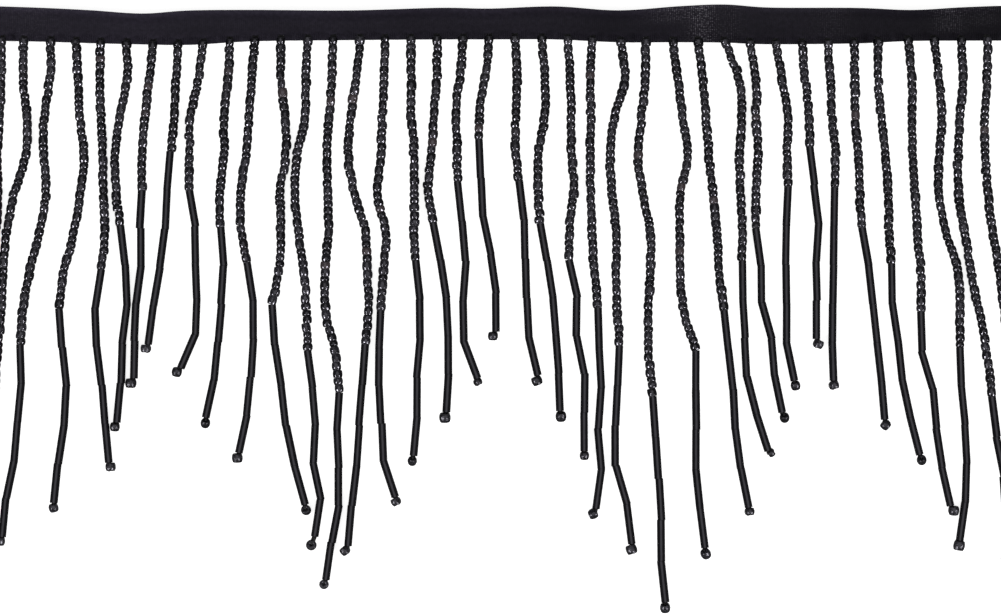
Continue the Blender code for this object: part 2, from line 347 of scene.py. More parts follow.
# The stop beads, from left to right: how far the hole has turned from the strand's line and how far
# it is tipped up, in degrees, the bead's size against a plain one, and how many metres below the
# bugle bead it hangs
Stop = namedtuple("Stop", "turn tilt size neck", defaults=(1.0, 0.0))
STOPS = [
    Stop(10, 5), Stop(-10, 5), Stop(0, 5), Stop(15, 12, 0.96), Stop(-5, 0, 1.02), Stop(0, 10, 0.97),
    Stop(0, 5, 1.08), Stop(7, 0, 0.96), Stop(12, 15), Stop(0, 40, 0.95), Stop(12, 8, 1.06), Stop(0, 70),
    Stop(0, 75, 1.05, 0.0009), Stop(10, 80, 0.95), Stop(40, 10, 0.93), Stop(12, 0, 0.94),
    Stop(0, 40, 0.92), Stop(5, 12, 1.12), Stop(0, 0, 0.8), Stop(0, 8, 0.97), Stop(10, 5, 1.05),
    Stop(0, 20, 1.06), Stop(0, 12, 0.92), Stop(-60, 10), Stop(12, 0, 1.1), Stop(0, 25, 1.01),
    Stop(20, 35, 1.02), Stop(-10, 0, 0.9), Stop(-75, 0, 0.8, -0.0003), Stop(0, 45, 0.96),
    Stop(0, 20, 0.95), Stop(-22, 5, 0.98), Stop(10, 0, 0.95), Stop(45, 5, 0.98), Stop(0, 55, 0.97),
    Stop(-15, 10, 1.05), Stop(0, 5, 1.14), Stop(10, 20), Stop(0, 50),
]


def smooth(rows, spans):
    """A Catmull-Rom curve through the rows, cut into so many spans between two of them."""
    rows = np.array(rows, dtype=float)
    before = 2 * rows[0] - rows[1]
    after = 2 * rows[-1] - rows[-2]
    ring = np.vstack([before, rows, after])
    curve = []
    for a, b, c, d in zip(ring, ring[1:], ring[2:], ring[3:]):
        for step in range(spans):
            t = step / spans
            curve.append(
                b + t * (c - a) / 2
                + t * t * (a - 2.5 * b + 2 * c - d / 2)
                + t ** 3 * (1.5 * (b - c) + (d - a) / 2)
            )
    curve.append(rows[-1])
    return np.array(curve)


def smoothstep(t):
    """0 where t is 0 or less, 1 where it is 1 or more, and a smooth step between them."""
    t = np.clip(t, 0.0, 1.0)
    return t * t * (3 - 2 * t)


# The ribbon's edges in metres: columns are x, the upper edge's y and the lower edge's y
EDGES = smooth(TAPE, EDGE_SPANS)
EDGES[:, 0] = (EDGES[:, 0] - MIDDLE_X) * PIXEL
EDGES[:, 1:] = (MIDDLE_Y - EDGES[:, 1:]) * PIXEL


def upper_edge(x):
    """The y of the ribbon's upper edge at x, in metres."""
    return np.interp(x, EDGES[:, 0], EDGES[:, 1])


def lower_edge(x):
    """The y of the ribbon's lower edge at x, in metres."""
    return np.interp(x, EDGES[:, 0], EDGES[:, 2])


def strand_lines(strand):
    """The strand's centre line on the surface, in metres, for its seed beads and its bugle beads."""
    root_x = (strand.root - MIDDLE_X) * PIXEL
    edge_y = float(lower_edge(root_x))
    edge = MIDDLE_Y - edge_y / PIXEL
    step = (strand.seed_end - edge) / len(strand.seeds)
    stations = [(strand.root, edge)]
    for count, drift in enumerate(strand.seeds, 1):
        stations.append((strand.root + drift, edge + count * step))
    seeds = smooth(stations, STRAND_SPANS)
    first_way = (seeds[1] - seeds[0]) / np.linalg.norm(seeds[1] - seeds[0])
    seeds = np.vstack([seeds[0] - first_way * ROOT_REACH / PIXEL, seeds])

    # bugle beads of one length, a little longer than the height that each takes up where they lean
    across = np.diff([strand.seeds[-1], *strand.swing])
    drop = strand.bugle_end - strand.seed_end
    bugle = drop / len(across) + (across ** 2).sum() / (2 * drop)
    steps = np.stack([across, np.sqrt(bugle ** 2 - across ** 2)], axis=1)
    bugles = np.array(stations[-1]) + np.vstack([(0, 0), np.cumsum(steps, axis=0)])

    def place(rows):
        """Places in pixels, in metres."""
        return np.stack([(rows[:, 0] - MIDDLE_X) * PIXEL, (MIDDLE_Y - rows[:, 1]) * PIXEL], axis=1)

    return place(seeds), place(bugles)


def carry(mesh, name, values, kind="FLOAT", field="value"):
    """Gives each point of the mesh its value under that name."""
    store = mesh.attributes.new(name, kind, "POINT")
    store.data.foreach_set(field, values.astype(np.float32).ravel())


class Shape:
    """Points and four-sided faces that are gathered into one mesh."""

    def __init__(self):
        self.points = []
        self.faces = []
        self.tones = []
        self.ends = []
        self.count = 0

    def add(self, points, faces, tone=0.5, end=0.0):
        """Adds a form. Its tone, and how near its end each point lies, go with its points."""
        self.points.append(points)
        self.faces.append(faces + self.count)
        self.tones.append(np.full(len(points), tone))
        self.ends.append(np.full(len(points), end))
        self.count += len(points)

    def build(self, name, material, sharp=None):
        """The mesh as a piece in the scene, smooth but for the edges that turn more than sharp."""
        mesh = bpy.data.meshes.new(name)
        mesh.from_pydata(np.concatenate(self.points), [], np.concatenate(self.faces))
        carry(mesh, "tone", np.concatenate(self.tones))
        carry(mesh, "end", np.concatenate(self.ends))
        mesh.materials.append(material)
        mesh.shade_smooth()
        if sharp is not None:
            mesh.set_sharp_from_angle(angle=sharp)
        piece = bpy.data.objects.new(name, mesh)
        bpy.context.scene.collection.objects.link(piece)
        return piece


def turned(profile, sides):
    """A closed profile of (along, radius) rows turned about the Y axis, as points and faces."""
    angles = np.arange(sides) * 2 * pi / sides
    along, radius = profile[:, 0], profile[:, 1]
    points = np.stack(
        [
            np.outer(radius, np.cos(angles)),
            np.repeat(along[:, None], sides, axis=1),
            np.outer(radius, np.sin(angles)),
        ],
        axis=2,
    ).reshape(-1, 3)
    ring = np.arange(len(profile))[:, None] * sides
    next_ring = (ring + sides) % (len(profile) * sides)
    here = np.arange(sides)[None, :]
    beside = (here + 1) % sides
    faces = np.stack([ring + here, ring + beside, next_ring + beside, next_ring + here], axis=2)
    return points, faces.reshape(-1, 4)


def bead_profile(length, width, swell, hole=SEED_HOLE):
    """A seed bead's section: its hole, two ground ends, round corners, and a swell between them."""
    half = length / 2
    along = half * np.cos(np.linspace(0, pi, SEED_POINTS))
    near_end = np.clip((np.abs(along) - half + SEED_CORNER) / SEED_CORNER, 0.0, 1.0)
    corner = SEED_CORNER_DEPTH * (1 - np.sqrt(1 - near_end ** 2))
    out = width / 2 - swell * (along / half) ** 2 - corner
    outside = np.stack([along, out], axis=1)
    return np.vstack([(half, hole), outside, (-half, hole)])


def bugle_profile(length, width):
    """A bugle bead's section: a long tube wall with two cut ends."""
    half = length / 2
    radius = width / 2
    wall = np.linspace(half - BUGLE_BEVEL, -half + BUGLE_BEVEL, BUGLE_RINGS)
    rows = [(half, BUGLE_HOLE), (half, radius - BUGLE_BEVEL)]
    rows += [(along, radius) for along in wall]
    rows += [(-half, radius - BUGLE_BEVEL), (-half, BUGLE_HOLE)]
    return np.array(rows)


def along_axes(axis):
    """Columns that turn a bead's own X, Y and Z to lie across, along and above the axis."""
    axis = axis / np.linalg.norm(axis)
    side = np.cross(axis, (0.0, 0.0, 1.0))
    side /= np.linalg.norm(side)
    return np.stack([side, axis, np.cross(side, axis)], axis=1)


def heading(start, end, yaw=0.0, pitch=0.0):
    """The direction from start to end, turned a little sideways and a little up."""
    way = (end - start) / np.linalg.norm(end - start)
    turned_way = np.array(
        [
            way[0] * cos(yaw) - way[1] * sin(yaw),
            way[0] * sin(yaw) + way[1] * cos(yaw),
            way[2] + sin(pitch),
        ]
    )
    return turned_way / np.linalg.norm(turned_way)


def tube(line, radius, sides=THREAD_SIDES):
    """A tube along the line, with its ends drawn in to a small ring."""
    line = np.array(line, dtype=float)
    ways = np.gradient(line, axis=0)
    ways /= np.linalg.norm(ways, axis=1)[:, None]
    radii = np.full(len(line), radius)
    beyond = radius * TUBE_END_REACH
    line = np.vstack([line[0] - ways[0] * beyond, line, line[-1] + ways[-1] * beyond])
    ways = np.vstack([ways[0], ways, ways[-1]])
    radii = np.concatenate([[radius * TUBE_END_SHARE], radii, [radius * TUBE_END_SHARE]])
    up = np.array([0.0, 0.0, 1.0])
    if abs(ways[0] @ up) > UPRIGHT:
        up = np.array([1.0, 0.0, 0.0])
    normal = up - ways[0] * (ways[0] @ up)
    rings = []
    for point, way, reach in zip(line, ways, radii):
        normal = normal - way * (way @ normal)
        normal /= np.linalg.norm(normal)
        side = np.cross(way, normal)
        for count in range(sides):
            angle = 2 * pi * count / sides
            rings.append(point + reach * (normal * cos(angle) + side * sin(angle)))
    ring = np.arange(len(line) - 1)[:, None] * sides
    here = np.arange(sides)[None, :]
    beside = (here + 1) % sides
    faces = np.stack([ring + here, ring + beside, ring + sides + beside, ring + sides + here], axis=2)
    return np.array(rings), faces.reshape(-1, 4)


def material_named(name):
    """A new material, and its shader."""
    material = bpy.data.materials.new(name)
    material.use_nodes = True
    return material, material.node_tree.nodes["Principled BSDF"]


def node(material, kind, **values):
    """A node of that kind. Values with a socket's name set the socket, and others the node."""
    made = material.node_tree.nodes.new(kind)
    for name, value in values.items():
        label = name.replace("_", " ").title()
        if label in made.inputs:
            made.inputs[label].default_value = value
        else:
            setattr(made, name, value)
    return made


def link(material, source, target):
    """Leads the source's value to the target."""
    material.node_tree.links.new(source, target)


def attribute(material, name, output="Fac"):
    """What the mesh carries under that name."""
    return node(material, "ShaderNodeAttribute", attribute_name=name).outputs[output]


def place_of(material):
    """The place on the piece, in metres."""
    return node(material, "ShaderNodeTexCoord").outputs["Object"]


def colours(material, factor, dark, light):
    """A colour that runs from dark to light with the factor."""
    ramp = node(material, "ShaderNodeValToRGB")
    ramp.color_ramp.elements[0].color = (*dark, 1.0)
    ramp.color_ramp.elements[1].color = (*light, 1.0)
    link(material, factor, ramp.inputs["Fac"])
    return ramp.outputs["Color"]


def numbers(material, factor, low, high, start=0.0, end=1.0):
    """A number that runs from low to high while the factor runs from start to end."""
    scale = node(material, "ShaderNodeMapRange", from_min=start, from_max=end, to_min=low, to_max=high)
    link(material, factor, scale.inputs["Value"])
    return scale.outputs["Result"]


def joined(material, operation, first, second):
    """The two numbers multiplied or added, as the operation says."""
    made = node(material, "ShaderNodeMath", operation=operation)
    link(material, first, made.inputs[0])
    link(material, second, made.inputs[1])
    return made.outputs["Value"]


def mixed(material, factor, colour, other):
    """The colour, with the other one mixed in by the factor."""
    mix = node(material, "ShaderNodeMix", data_type="RGBA")
    share, first, second = [socket for socket in mix.inputs if socket.enabled]
    second.default_value = (*other, 1.0)
    link(material, factor, share)
    link(material, colour, first)
    return next(socket for socket in mix.outputs if socket.enabled)


def noise(material, place, scale, detail):
    """Uneven values over the place, finer with a higher scale."""
    made = node(material, "ShaderNodeTexNoise", scale=scale, detail=detail)
    link(material, place, made.inputs["Vector"])
    return made.outputs["Fac"]


def stretched_noise(material, place, scales, detail):
    """Uneven values over the place, with a scale for each axis."""
    stretch = node(material, "ShaderNodeMapping", vector_type="POINT", scale=scales)
    link(material, place, stretch.inputs["Vector"])
    return noise(material, stretch.outputs["Vector"], 1.0, detail)


def bands(material, place, direction, pitch, wander=0.0):
    """Dark and light bands across the direction, at that pitch, which wander from straight."""
    made = node(material, "ShaderNodeTexWave", bands_direction=direction, scale=BAND_WIDTH / pitch,
                distortion=wander, detail=1.0)
    link(material, place, made.inputs["Vector"])
    return made.outputs["Fac"]


def raise_surface(material, shader, height, depth, share=1.0):
    """Relief on the surface from the height: so deep, and so large a share of that."""
    bump = node(material, "ShaderNodeBump", strength=share, distance=depth)
    link(material, height, bump.inputs["Height"])
    link(material, bump.outputs["Normal"], shader.inputs["Normal"])


def finish_glass(shader):
    """What all the glass has in common."""
    shader.inputs["IOR"].default_value = GLASS_IOR
    shader.inputs["Specular Tint"].default_value = GLASS_TINT


def bead_glass(name, polish):
    """Black glass. Each bead has its own tone and its own polish, and a few are a dull rosy grey."""
    material, shader = material_named(name)
    place = place_of(material)
    tone = attribute(material, "tone")
    streaks = noise(material, place, STREAK_SCALE, detail=2.0)
    lightness = joined(
        material,
        "MULTIPLY",
        numbers(material, tone, 0.0, 1.0, *SEED_TONES),
        numbers(material, streaks, 0.0, 1.0, *STREAKS),
    )
    glass = colours(material, lightness, SEED_DARK, SEED_LIGHT)
    glass = mixed(material, numbers(material, tone, 0.0, 1.0, *DULL_TONES), glass, SEED_DULL)
    link(material, glass, shader.inputs["Base Color"])
    rough = joined(
        material,
        "ADD",
        numbers(material, streaks, *polish, *POLISH_STREAKS),
        numbers(material, attribute(material, "end"), 0.0, GROUND_ROUGHNESS, *GROUND_FROM),
    )
    link(material, rough, shader.inputs["Roughness"])
    raise_surface(material, shader, noise(material, place, DENT_SCALE, detail=1.0), DENT_DEPTH)
    finish_glass(shader)
    return material


def bugle_glass():
    """Black glass tube, drawn lengthwise, with a softer polish than the seed beads."""
    material, shader = material_named("bugle_glass")
    place = place_of(material)
    glass = colours(material, attribute(material, "tone"), BUGLE_DARK, BUGLE_LIGHT)
    link(material, glass, shader.inputs["Base Color"])
    streaks = stretched_noise(material, place, BUGLE_STREAKS, detail=2.0)
    link(material, numbers(material, streaks, *BUGLE_POLISH), shader.inputs["Roughness"])
    waves = stretched_noise(material, place, BUGLE_WAVES, detail=1.0)
    raise_surface(material, shader, waves, BUGLE_WAVE_DEPTH, BUGLE_WAVE_SHARE)
    finish_glass(shader)
    return material


def ribbon_cloth():
    """Black woven ribbon. The fine ends that run along it break its ribs into dashes. Its colour carries
    painted highlights on the ribs' crests, and painted light that pales it towards its left end and along
    its lower edge; its upper edge is paler too.
    """
    material, shader = material_named("ribbon_cloth")
    weave = attribute(material, "weave", "Vector")
    uneven = joined(
        material,
        "MULTIPLY",
        noise(material, weave, BLOTCH_SCALE, detail=3.0),
        noise(material, weave, DRIFT_SCALE, detail=2.0),
    )
    cloth = colours(material, numbers(material, uneven, *BLOTCHES), CLOTH_DARK, CLOTH_LIGHT)

    # painted highlights: light dots in columns on the ribs' crests, painted into the colour where the
    # ribbon catches the light
    patches = stretched_noise(material, weave, (1 / rib_pitch(), 1 / DOT_PITCH, 1.0), detail=2.0)
    lit = numbers(material, patches, 0.0, 1.0, *PAINTED_LIT_PATCHES)
    crests = bands(material, weave, "X", rib_pitch())
    dots = bands(material, weave, "Y", DOT_PITCH, DOT_WANDER)
    for factor in (crests, dots, attribute(material, "tone")):
        lit = joined(material, "MULTIPLY", lit, factor)
    cloth = mixed(material, lit, cloth, CLOTH_PAINTED_LIT)

    # painted light and shade make the black paler towards the left end; the edges are paler too, the
    # lower one with painted light against the shadows of the beads and stitches
    parts = node(material, "ShaderNodeSeparateXYZ")
    link(material, weave, parts.inputs["Vector"])
    paler = joined(
        material,
        "MULTIPLY",
        numbers(material, parts.outputs["X"], *PAINTED_LIGHT_FALLOFF, end=EDGES[-1, 0] - EDGES[0, 0]),
        numbers(material, attribute(material, "edge_paling"), 1.0, EDGE_PALING_GAIN),
    )
    made_paler = node(material, "ShaderNodeVectorMath", operation="SCALE")
    link(material, cloth, made_paler.inputs["Vector"])
    link(material, paler, made_paler.inputs["Scale"])
    link(material, made_paler.outputs["Vector"], shader.inputs["Base Color"])
    ends = bands(material, weave, "Y", WARP_PITCH, WARP_WANDER)
    raise_surface(material, shader, ends, WARP_DEPTH, WARP_SHARE)
    shader.inputs["Roughness"].default_value = CLOTH_ROUGHNESS
    shader.inputs["Specular IOR Level"].default_value = CLOTH_GLOSS
    return material


def thread_fibre():
    """Black twisted thread."""
    material, shader = material_named("thread_fibre")
    twist = noise(material, place_of(material), FIBRE_SCALE, detail=1.0)
    link(material, colours(material, twist, FIBRE_DARK, FIBRE_LIGHT), shader.inputs["Base Color"])
    shader.inputs["Roughness"].default_value = FIBRE_ROUGHNESS
    return material


def rib_pitch():
    """The ribs' pitch, so that a whole number of them fills the ribbon."""
    length = EDGES[-1, 0] - EDGES[0, 0]
    return length / round(length / RIB_PITCH)


def rib_steps():
    """How far along one rib its columns stand, from 0 to 1, and how high the rib is there."""
    steps = np.arange(RIB_COLUMNS) / RIB_COLUMNS
    return steps, np.abs(np.sin(pi * steps)) ** RIB_ROUNDNESS


def painted_catch_light(x, share):
    """How strongly highlights are painted into the weave, for each place along and each share of the
    width.
    """
    light = np.zeros((len(x), len(share)))
    for catch in PAINTED_CATCHES:
        middle = (catch.x - MIDDLE_X) * PIXEL
        along = np.exp(-(((x - middle) / (catch.reach * PIXEL)) ** 2))
        across = smoothstep((share - catch.above) / CATCH_FADE + 0.5)
        light += catch.strength * np.outer(along, across)
    return light


def ribbon_sheet(material):
    """The ribbon as one closed sheet: its top, its underside, its two selvedges and its cut ends."""
    start, end = EDGES[0, 0], EDGES[-1, 0]
    ribs = round((end - start) / RIB_PITCH)
    steps, heights = rib_steps()
    along = np.append((np.arange(ribs)[:, None] + steps).ravel(), ribs) / ribs
    rib = np.append(np.tile(heights, ribs), 0.0)
    x = start + (end - start) * along
    lower = lower_edge(x)[:, None]
    width = upper_edge(x)[:, None] - lower

    # rows across the ribbon, closer together at its selvedges
    share = np.linspace(0.0, 1.0, RIBBON_ROWS)
    share = share - ROW_CROWDING * np.sin(2 * pi * share)
    y = lower + width * share
    above_sewn = (y - lower - SEWN_WIDTH) / (width - SEWN_WIDTH)
    bend = np.clip((above_sewn - SEWN_SHARE) / (1 - SEWN_SHARE), 0.0, None)
    seen = np.minimum(width, TAPE_WIDTH)
    rise = CURL_SHARE * np.sqrt(TAPE_WIDTH ** 2 - seen ** 2)
    under = RIBBON_LIFT + rise * bend ** 2

    # the sheet's slope across, for the way in which its thickness points
    slope = np.gradient(under, axis=1) / np.gradient(y, axis=1)
    lean = 1 / np.sqrt(1 + slope ** 2)
    inward = smoothstep(np.minimum(share, 1 - share) * width / SELVEDGE)
    thick = RIBBON_THICKNESS * (SELVEDGE_THICKNESS + (1 - SELVEDGE_THICKNESS) * inward)
    ridge = RIB_HEIGHT * rib[:, None] * (SELVEDGE_RIBS + (1 - SELVEDGE_RIBS) * inward)
    middle = under + RIBBON_THICKNESS / 2
    top = thick / 2 + ridge - RIB_HEIGHT / 2
    bottom = thick / 2 + ridge - RIB_HEIGHT

    def layer(offset):
        """The points that lie that far above the middle of the sheet's thickness."""
        return np.stack(
            [
                np.repeat(x[:, None], RIBBON_ROWS, axis=1),
                y - slope * lean * offset,
                middle + lean * offset,
            ],
            axis=2,
        )

    grid = np.concatenate([layer(top), layer(-bottom)[:, ::-1]], axis=1)
    columns, rows = grid.shape[:2]
    points = grid.reshape(-1, 3)
    column = np.arange(columns - 1)[:, None] * rows
    row = np.arange(rows)[None, :]
    beside = (row + 1) % rows
    faces = np.stack([column + row, column + rows + row, column + rows + beside, column + beside], axis=2)
    faces = faces.reshape(-1, 4)

    # the two cut ends
    half = np.arange(RIBBON_ROWS - 1)
    first = np.stack([half, half + 1, rows - 2 - half, rows - 1 - half], axis=1)
    last = (columns - 1) * rows + first[:, ::-1]
    faces = np.concatenate([faces, first, last])

    form = Shape()
    both_sides = np.concatenate([share, share[::-1]])
    # the ribbon's tone carries how strongly highlights are painted into its weave
    form.add(points, faces, painted_catch_light(x, both_sides).ravel())
    piece = form.build("ribbon", material, sharp=CUT_EDGE)

    # how much paler its edges are, the lower one with painted light, and the place on the ribbon as if it
    # lay flat: along it and across it
    from_lower = both_sides * width
    edge_paling = UPPER_PALING * (1 - smoothstep((1 - both_sides) * width / UPPER_PALER_REACH))
    edge_paling += LOWER_PAINTED_LIGHT * (1 - smoothstep((from_lower - LOWER_PAINTED_LIGHT_HEIGHTS[0]) / (LOWER_PAINTED_LIGHT_HEIGHTS[1] - LOWER_PAINTED_LIGHT_HEIGHTS[0])))
    carry(piece.data, "edge_paling", edge_paling)
    weave = np.stack(
        [
            np.repeat((along * (end - start))[:, None], rows, axis=1),
            np.repeat((both_sides * TAPE_WIDTH)[None, :], columns, axis=0),
            np.zeros((columns, rows)),
        ],
        axis=2,
    )
    carry(piece.data, "weave", weave, "FLOAT_VECTOR", "vector")
    return piece


def root_lift(below):
    """How far a strand is lifted by the ribbon's edge, at that distance below the edge."""
    top = RIBBON_LIFT + RIBBON_THICKNESS
    return top * (1 - smoothstep((below + LIFTED_ABOVE) / LIFTED_REACH))


def cut_lengths(total, rng):
    """Lengths of the seed beads that fill a run, as uneven as they come off the cane."""
    count = round(total / SEED_LENGTH)
    lengths = np.clip(rng.normal(SEED_LENGTH, SEED_LENGTH_SPREAD, count), *SEED_LENGTHS)
    return lengths * total / lengths.sum()


def string_seeds(form, line, edge_y, rng):
    """A run of seed beads down the line. Returns the holes' ends, which the thread goes through."""
    steps = np.linalg.norm(np.diff(line, axis=0), axis=1)
    reach = np.concatenate([[0.0], np.cumsum(steps)])
    lengths = cut_lengths(reach[-1], rng)
    marks = np.concatenate([[0.0], np.cumsum(lengths)])
    ends = np.stack([np.interp(marks, reach, line[:, axis]) for axis in (0, 1)], axis=1)
    holes = []
    for number, (length, start, end) in enumerate(zip(lengths, ends, ends[1:])):
        width = rng.normal(SEED_WIDTH, SEED_WIDTH_SPREAD)
        shift = rng.normal(0.0, SEED_SHIFT)
        stray, side = rng.random(2)
        yaw = rng.normal(0.0, SEED_YAW)
        pitch = rng.normal(0.0, SEED_PITCH)
        swell = rng.uniform(*SEED_SWELL)
        tone = rng.random()
        skew = rng.normal(0.0, SEED_SKEW, 2)
        oval = rng.normal(1.0, SEED_OVAL)
        if number == 0:
            shift *= ROOT_SHIFT_SHARE
        elif stray < SEED_STRAY_SHARE:
            way = 1 if side < 0.5 else -1
            shift = SEED_STRAY * way
            yaw = SEED_STRAY_YAW * rng.uniform(-1.0, 1.0)
        start_low = (*start, root_lift(edge_y - start[1]))
        end_low = (*end, root_lift(edge_y - end[1]))
        axis = heading(np.array(start_low), np.array(end_low), yaw, pitch)
        turn = along_axes(axis)
        points, faces = turned(bead_profile(length * SEED_BEARING, width, swell), SEED_SIDES)
        near_end = np.abs(points[:, 1]) / np.abs(points[:, 1]).max()
        points[:, 1] += np.where(points[:, 1] > 0, skew[0], skew[1]) * points[:, 0]
        points[:, 0] *= oval
        middle = (np.array(start_low) + np.array(end_low)) / 2 + turn[:, 0] * shift
        points = points @ turn.T + middle
        rest = (start_low[2] + end_low[2]) / 2 if number else start_low[2]
        points[:, 2] += rest - points[:, 2].min()
        form.add(points, faces, tone, near_end)
        centre = points.mean(axis=0)
        holes.append(centre - axis * length * SEED_HOLE_REACH)
        holes.append(centre + axis * length * SEED_HOLE_REACH)
    return holes


def string_bugles(form, line, rng):
    """Bugle beads end to end between the line's points. Returns the ends of their holes."""
    holes = []
    ways = np.diff(line, axis=0)
    bearings = np.unwrap(np.arctan2(ways[:, 1], ways[:, 0]))
    bends = np.concatenate([[0.0], np.diff(bearings), [0.0]])
    for number, (start, end) in enumerate(zip(line, line[1:])):
        width = rng.normal(BUGLE_WIDTH, BUGLE_WIDTH_SPREAD)
        shifts = rng.normal(0.0, BUGLE_SHIFT, 2)
        tone = rng.random()
        start = np.array([*start, width / 2])
        end = np.array([*end, width / 2])
        side = along_axes(end - start)[:, 0]
        start = start + side * shifts[0]
        end = end + side * shifts[1]
        length = np.linalg.norm(end - start) + BUGLE_BEARING
        turn = along_axes(end - start)
        points, faces = turned(bugle_profile(length, width), BUGLE_SIDES)
        near = np.abs(points[:, 1]) > length / 2 - 2 * BUGLE_BEVEL
        first, last = np.tan(bends[number:number + 2] / 2)
        points[:, 1] += near * np.where(points[:, 1] > 0, last, -first) * points[:, 0]
        middle = (start + end) / 2
        points = points @ turn.T + middle
        points[:, 2] -= points[:, 2].min()
        form.add(points, faces, tone)
        holes.append(middle - turn[:, 1] * length * BUGLE_HOLE_REACH)
        holes.append(middle + turn[:, 1] * length * BUGLE_HOLE_REACH)
    return holes


def hang_stop(form, way, last, aside, stop, tone):
    """The stop bead below the last bugle bead. Returns its middle, axis, half length and half width."""
    length = TIP_LENGTH * stop.size
    width = TIP_WIDTH * stop.size
    bearing = heading(np.array([0.0, 0.0, 0.0]), np.array([*way, 0.0]), radians(stop.turn))
    axis = bearing * cos(radians(stop.tilt)) + np.array([0.0, 0.0, -sin(radians(stop.tilt))])
    turn = np.stack([np.cross(bearing, (0.0, 0.0, 1.0)), axis, np.zeros(3)], axis=1)
    turn[:, 2] = np.cross(turn[:, 0], axis)
    points, faces = turned(bead_profile(length, width, TIP_SWELL, TIP_HOLE), SEED_SIDES)
    points = points @ turn.T
    points[:, 2] -= points[:, 2].min()

    # it hangs on the thread close below the bugle bead's end, and may lie a little to one side
    way = np.array([*way, 0.0]) / np.linalg.norm(way)
    right = np.cross((0.0, 0.0, 1.0), way)
    below = stop.neck - (points @ way).min()
    points += np.array([*last, 0.0]) + right * aside + way * below
    form.add(points, faces, tone)
    middle = (points.max(axis=0) + points.min(axis=0)) / 2
    return middle, axis, length / 2, width / 2


def wrap(stop, start, end):
    """The thread's way round the outside of a stop bead, from one direction to the other."""
    middle, axis, half_length, half_width = stop
    start = start / np.linalg.norm(start)
    end = end / np.linalg.norm(end)
    across = end - start * (start @ end)
    if np.linalg.norm(across) < WRAP_LEAST_TURN:
        across = np.cross(start, (0.0, 0.0, 1.0))
    across = across / np.linalg.norm(across)
    turn = acos(np.clip(start @ end, -1.0, 1.0))
    places = []
    for share in np.linspace(0.0, 1.0, WRAP_STEPS)[1:-1]:
        way = start * cos(share * turn) + across * sin(share * turn)
        along = abs(way @ axis) / half_length
        out = sqrt(max(0.0, 1 - (way @ axis) ** 2)) / half_width
        reach = (along ** WRAP_ROUNDNESS + out ** WRAP_ROUNDNESS) ** (-1 / WRAP_ROUNDNESS) + THREAD_RADIUS
        places.append(middle + way * reach)
    return places


def end_loop(stop, neck):
    """The thread through the stop bead and round it, from the bugle bead's end and back there."""
    middle, axis, half_length, half_width = stop
    way = neck - middle
    if axis @ (way / np.linalg.norm(way) + np.array([0.0, 0.0, LOOP_LIFT])) < 0:
        axis = -axis
    near = axis * half_length
    route = [neck, *wrap(stop, way, near), middle + near, middle - near, *wrap(stop, -near, way), neck]
    route = np.array(route)
    route[:, 2] = np.maximum(route[:, 2], THREAD_RADIUS)
    return list(route)


def root_stitches(form, x, hole, rng):
    """A tight bundle of thread from the first bead's hole up into the ribbon."""
    edge = float(lower_edge(x))
    top = RIBBON_LIFT + RIBBON_THICKNESS
    for spread in STITCHES:
        foot_y = edge + rng.uniform(*STITCH_FEET)
        crest_y = edge + STITCH_CREST + rng.uniform(*STITCH_CREST_SPREAD)
        foot = np.array([x + spread * STITCH_FOOT_SHARE, foot_y, top - STITCH_FOOT_DEPTH])
        crest = np.array([x + spread, crest_y, top + STITCH_CREST_HEIGHT])
        begin = np.array([hole[0] + spread * STITCH_START_SHARE, hole[1] - STITCH_START, hole[2]])
        bow = (begin + crest) / 2 + (0, 0, STITCH_BOW)
        form.add(*tube(smooth([begin, bow, crest, foot], STITCH_SPANS), STITCH_RADIUS))


def back_thread(form, roots):
    """The thread that runs along the ribbon's back from one strand's root to the next."""
    rows = []
    for x in roots:
        y = float(lower_edge(x)) + BACK_STITCH_UP
        rows.append((x - BACK_STITCH, y, THREAD_RADIUS))
        rows.append((x + BACK_STITCH, y, THREAD_RADIUS))
    form.add(*tube(smooth(rows, BACK_SPANS), THREAD_RADIUS))


def add_pieces():
    """Every piece of the trim, in the order ribbon, beads, thread."""
    glass = bead_glass("seed_glass", SEED_POLISH)
    stop_glass = bead_glass("stop_glass", TIP_POLISH)
    tube_glass = bugle_glass()
    fibre = thread_fibre()
    ribbon = ribbon_sheet(ribbon_cloth())
    groups = [Shape() for _ in range(ceil(len(STRANDS) / STRANDS_A_PIECE))]
    bugles = Shape()
    stops = Shape()
    threads = Shape()
    stitches = Shape()
    for number, (strand, stop) in enumerate(zip(STRANDS, STOPS)):
        rng = np.random.default_rng((RANDOM_START, number))
        seed_line, bugle_line = strand_lines(strand)
        edge_y = float(lower_edge(seed_line[0, 0]))
        holes = string_seeds(groups[number // STRANDS_A_PIECE], seed_line, edge_y, rng)
        root_stitches(stitches, seed_line[0, 0], holes[0], rng)
        holes += string_bugles(bugles, bugle_line, rng)
        last = bugle_line[-1]
        tone = rng.uniform(*TIP_TONES)
        hung = hang_stop(stops, last - bugle_line[-2], last, strand.aside * PIXEL, stop, tone)
        end = np.array([*last, BUGLE_WIDTH / 2])
        threads.add(*tube([end, (end + hung[0]) / 2, hung[0]], KNOT_RADIUS, KNOT_SIDES))
        holes += end_loop(hung, holes[-1])
        threads.add(*tube(holes, THREAD_RADIUS))
    back_thread(stitches, [(strand.root - MIDDLE_X) * PIXEL for strand in STRANDS])

    strung = [form.build(f"seed_beads_{count}", glass) for count, form in enumerate(groups, 1)]
    strung.append(bugles.build("bugle_beads", tube_glass, sharp=BUGLE_RIM))
    strung.append(stops.build("stop_beads", stop_glass))
    for piece in strung:
        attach(piece, "root")
        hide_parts("fringe")
    strands = threads.build("strand_threads", fibre)
    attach(strands, "root")
    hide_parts("fringe")
    sewing = stitches.build("root_stitches", fibre)
    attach(sewing, "root")
    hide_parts("tape")
    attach(ribbon, "root")
    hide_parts("tape")


